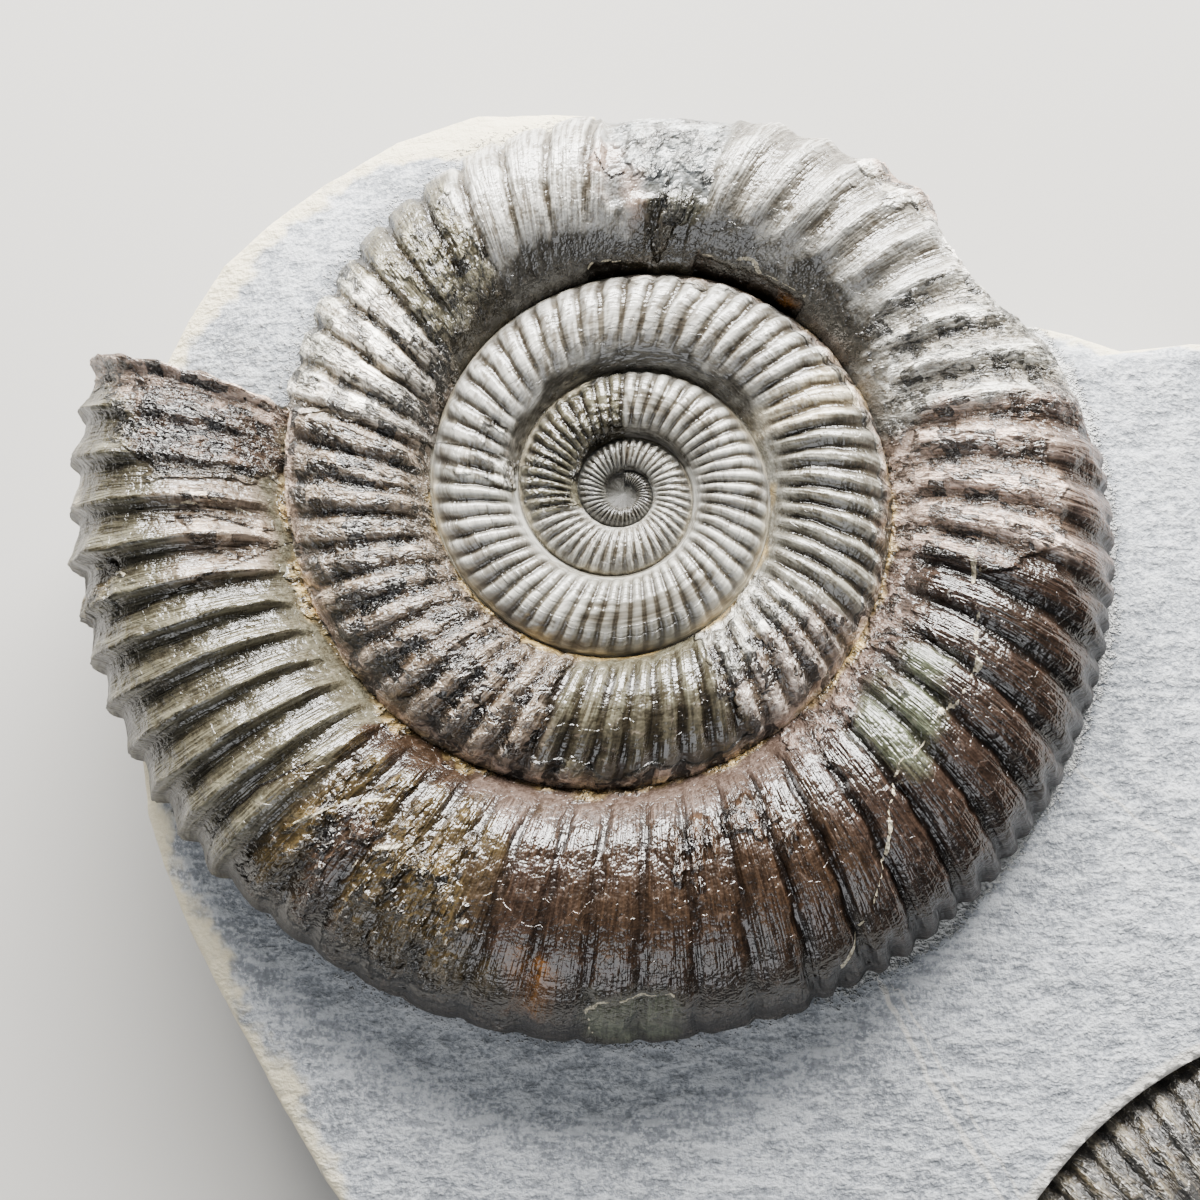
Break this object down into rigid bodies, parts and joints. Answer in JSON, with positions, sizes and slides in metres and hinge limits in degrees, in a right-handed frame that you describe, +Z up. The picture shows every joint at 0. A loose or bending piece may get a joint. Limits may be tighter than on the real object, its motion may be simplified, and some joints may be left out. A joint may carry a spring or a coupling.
{
  "type": "ammonite fossil in matrix",
  "caption": "Coiled, ribbed Dactylioceras ammonite lying in a slab of grey mudstone, the end of its last whorl broken off, with a piece of another at the slab's corner.",
  "frame": {"origin": "middle of the slab's underside, at the centre of the part's bounding box in plan", "axes": "+Z up, out of the face that shows the ammonite; +Y towards the picture's top; +X towards its right"},
  "size_m": [0.1045, 0.1, 0.0273],
  "materials": {
    "fossil_shell": "polished, dark brown to olive grey",
    "mudstone": "matt, bluish grey",
    "second_fossil_shell": "dull, grey brown"
  },
  "bodies": {
    "root": {"ammonite": "fossil_shell", "matrix": "mudstone", "second_ammonite": "second_fossil_shell"}
  },
  "joints": []
}
